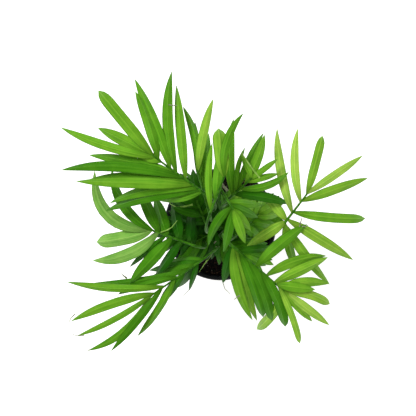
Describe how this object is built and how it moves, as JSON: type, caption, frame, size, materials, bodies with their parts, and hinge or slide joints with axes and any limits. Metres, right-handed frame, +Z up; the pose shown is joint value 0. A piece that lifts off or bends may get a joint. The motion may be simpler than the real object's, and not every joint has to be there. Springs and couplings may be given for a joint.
{
  "type": "potted parlour palm",
  "caption": "Small clump-forming palm in a round tapered nursery pot: short canes in soil carry arching fronds, each with narrow pointed leaflets set along both sides of a thin rib.",
  "frame": {"origin": "centre of the pot's flat underside, on the surface the pot stands on", "axes": "+Z up along the pot's axis, +X to the picture's right, +Y to the picture's top"},
  "size_m": [0.2972, 0.2729, 0.3156],
  "materials": {
    "pot_plastic": "smooth near-black moulded plastic with a low sheen",
    "soil": "dark crumbly potting compost",
    "cane": "smooth green ringed stem",
    "petiole": "smooth mid-green leaf stalk",
    "leaf": "semi-glossy green leaflet"
  },
  "bodies": {
    "root": {"pot": "pot_plastic", "soil": "soil", "cane_back": "cane", "cane_back_left": "cane", "cane_front_left": "cane", "cane_front": "cane", "cane_front_right": "cane", "cane_middle": "cane", "petiole_upper_left": "petiole", "petiole_crown": "petiole", "petiole_front": "petiole", "petiole_top_right": "petiole", "petiole_top": "petiole", "petiole_right": "petiole", "petiole_lower_right": "petiole", "petiole_mid_left": "petiole", "petiole_lower_left": "petiole", "petiole_inner_right": "petiole", "young_petiole_1": "petiole", "young_petiole_2": "petiole", "young_petiole_3": "petiole", "young_petiole_4": "petiole", "young_petiole_5": "petiole", "young_petiole_6": "petiole", "young_petiole_7": "petiole", "young_petiole_8": "petiole", "frond_upper_left": "leaf", "frond_crown": "leaf", "frond_front": "leaf", "frond_top_right": "leaf", "frond_top": "leaf", "frond_right": "leaf", "frond_lower_right": "leaf", "frond_mid_left": "leaf", "frond_lower_left": "leaf", "frond_inner_right": "leaf", "young_frond_1": "leaf", "young_frond_2": "leaf", "young_frond_3": "leaf", "young_frond_4": "leaf", "young_frond_5": "leaf", "young_frond_6": "leaf", "young_frond_7": "leaf", "young_frond_8": "leaf"}
  },
  "joints": []
}
